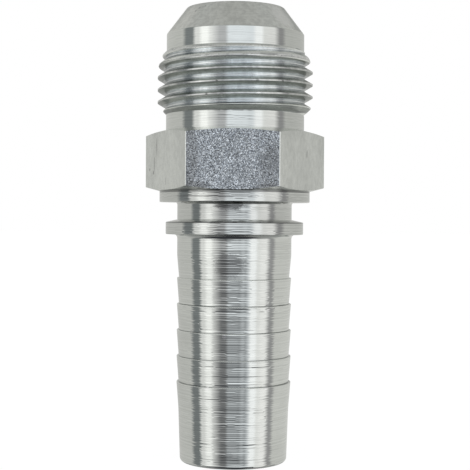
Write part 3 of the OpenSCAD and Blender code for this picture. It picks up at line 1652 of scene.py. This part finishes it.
ZINC = (0.78, 0.80, 0.775)
# Dark nicks on the thread's crests; the first and the last are bright spots painted as
# highlights.
CREST_NICKS_AND_GLINTS = (
    Mark(-32.8, 68.77, 13.4, 0.35, 0.95, 0.8),
    Mark(-11.5, 64.67, 13.4, 0.3, 0.2, 0.8),
    Mark(17.2, 64.77, 13.4, 0.35, 0.2, 0.8),
    Mark(37.2, 64.97, 13.4, 0.35, 0.2, 0.8),
    Mark(-19.0, 62.57, 13.4, 0.3, 0.2, 0.8),
    Mark(18.0, 62.67, 13.4, 0.45, 1.0, 0.9),
)
# A darker and a lighter patch on the lead-in crest.
LEAD_PATCHES = (
    Mark(27.0, 69.75, 12.9, 2.3, 0.25, 0.45, 0.45),
    Mark(1.5, 69.65, 12.9, 1.9, 0.95, 0.4, 0.4),
)
# A painted highlight: a bright streak along the ridge at the thread's foot.
FOOT_PAINTED_GLINT = (Mark(20.0, 60.9, 12.95, 3.4, 1.0, 0.8, 0.09),)
# Painted highlights: bright spots on the barbs' crest edges.
BARB_PAINTED_GLINTS = (
    Mark(-7.8, 22.37, 9.9, 0.45, 1.0, 0.9),
    Mark(37.5, 26.77, 9.85, 0.35, 0.95, 0.7),
    Mark(-25.2, 13.67, 9.9, 0.5, 0.95, 0.6),
    Mark(35.2, 13.67, 9.9, 0.4, 0.95, 0.7),
)
TAIL_STAINS = (Mark(-6.0, 2.5, 9.35, 1.5, 0.25, 0.3, 0.6),)
CONE_MARKS = (
    Mark(-40.0, 77.67, 9.2, 0.3, 0.45, 0.7),
    Mark(-43.2, 77.17, 9.6, 0.25, 0.45, 0.7),
    Mark(-32.8, 77.87, 9.0, 0.25, 0.5, 0.6),
    Mark(52.8, 76.47, 10.2, 2.8, 0.95, 0.5),
)
FLAT_STAINS = (
    Mark(-73.6, 54.4, 13.89, 0.26, 0.35, 0.5, 6.0),
    Mark(-77.1, 51.4, 14.13, 0.3, 0.35, 0.55, 5.0),
    Mark(-78.4, 50.0, 14.23, 0.3, 0.3, 0.7, 1.4),
    Mark(-84.2, 50.55, 14.8, 0.28, 0.3, 0.6),
    Mark(-58.4, 48.45, 13.5, 0.2, 0.4, 0.4, 4.0),
    Mark(66.0, 53.2, 13.57, 0.3, 0.35, 0.5, 2.6),
)
GRAIN_STAINS = (
    Mark(-29.4, 52.0, 15.4, 2.3, 0.2, 0.45, 3.2),
    Mark(26.0, 50.2, 15.0, 2.8, 0.2, 0.4, 1.9),
    Mark(-24.0, 47.3, 14.8, 2.4, 0.2, 0.5, 0.5),
    Mark(22.2, 47.1, 14.6, 2.4, 0.2, 0.45, 0.45),
)
# Painted shade: a dark patch at the top of the groove under the collar, and a thin dark band
# round the collar's middle.
LOCK_PAINTED_SHADE = (
    Mark(-3.5, 44.4, 9.98, 2.9, 0.2, 0.8, 0.38),
    Mark(-14.0, 45.93, 13.07, 9.5, 0.2, 0.5, 0.022),
)
# Painted shade just under the flange, and a darker patch lower on the shank.
SHANK_SHADE_AND_PATCH = (
    Mark(-6.5, 38.95, 9.96, 5.2, 0.14, 0.42, 0.1),
    Mark(-3.0, 34.3, 9.85, 3.0, 0.25, 0.5, 0.85),
)
FINISHES = {
    Zone.TAIL: Finish(
        ZINC,
        0.07,
        feed=0.28,
        depth=48.0,
        line_tone=0.06,
        # painted shade on each barb's foot just above its step
        shade_corners=tuple(TurnedBlank().barb_heights()),
        marks=BARB_PAINTED_GLINTS + TAIL_STAINS,
    ),
    Zone.LAND: Finish(ZINC, 0.06, feed=0.27, depth=41.0, line_tone=0.04, marks=SHANK_SHADE_AND_PATCH),
    Zone.LOCK: Finish(
        (0.69, 0.705, 0.687),
        0.06,
        feed=0.25,
        depth=54.0,
        line_tone=0.06,
        # painted shade on the collar under the hexagon and in the corner between the flange and
        # the groove
        shade_corners=(TurnedBlank().hex_z - 0.27, TurnedBlank().groove_z - 0.56),
        reach=0.6,
        shade_tone=0.1,
        marks=LOCK_PAINTED_SHADE,
    ),
    Zone.NECK: Finish((0.745, 0.764, 0.74), 0.06, feed=0.27, depth=15.0, line_tone=0.04),
    Zone.FLARE: Finish(
        (0.80, 0.81, 0.784),
        0.3,
        feed=0.2,
        depth=4.0,
        cloud=0.8,
        line_tone=0.03,
        mottle=0.09,
        marks=CONE_MARKS,
    ),
    Zone.THREAD: Finish(
        (0.54, 0.565, 0.54),
        0.16,
        feed=0.2,
        depth=8.0,
        mottle=0.06,
        edge=0.66,
        # painted shade on the chamfer at the thread's foot
        shade_corners=(MaleThread().foot_z,),
        reach=0.78,
        shade_share=0.5,
        # painted light: the roots are lighter than the flanks
        root=(0.83, 0.86, 0.87),
    ),
    Zone.CREST: Finish(
        (0.7, 0.71, 0.7), 0.22, feed=0.1, depth=3.0, cloud=1.0, mottle=0.15, marks=CREST_NICKS_AND_GLINTS
    ),
    Zone.LEAD: Finish(
        (0.90, 0.91, 0.90),
        0.28,
        feed=0.2,
        depth=42.0,
        cloud=1.0,
        line_tone=0.2,
        mottle=0.1,
        marks=LEAD_PATCHES,
    ),
    Zone.GRAINED: Finish(
        (0.515, 0.55, 0.59), 0.08, grain=0.1, tilt=0.75, cloud=1.0, marks=GRAIN_STAINS
    ),
    Zone.FLAT: Finish(
        ZINC, 0.22, grain=0.22, tilt=0.02, cloud=1.0, mottle=0.06, drawn=1.8, marks=FLAT_STAINS
    ),
    Zone.CHAMFER: Finish(ZINC, 0.2, feed=0.25, depth=10.0),
    # a brighter colour than the zinc, painted as a highlight along the rounded edges
    Zone.EDGE: Finish(
        (0.88, 0.90, 0.87), 0.24, feed=0.1, depth=3.0, marks=BARB_PAINTED_GLINTS + FOOT_PAINTED_GLINT
    ),
    Zone.BORE: Finish((0.6, 0.61, 0.6), 0.3, feed=0.3, depth=12.0),
}


def main() -> None:
    """Builds the camera, the studio and the dressed fitting in order."""
    logging.basicConfig(level=logging.INFO, format="%(message)s")
    bpy.context.scene.view_settings.view_transform = "Standard"
    Viewpoint().build()
    studio = Studio()
    studio.light()
    studio.floor()
    piece = HoseInsert(TurnedBlank(), MaleThread(), FINISHES).build()
    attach(piece, "root")
    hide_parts("hose_insert")
    log.info("%s: %d faces", piece.name, len(piece.data.polygons))


if __name__ == "__main__":
    main()
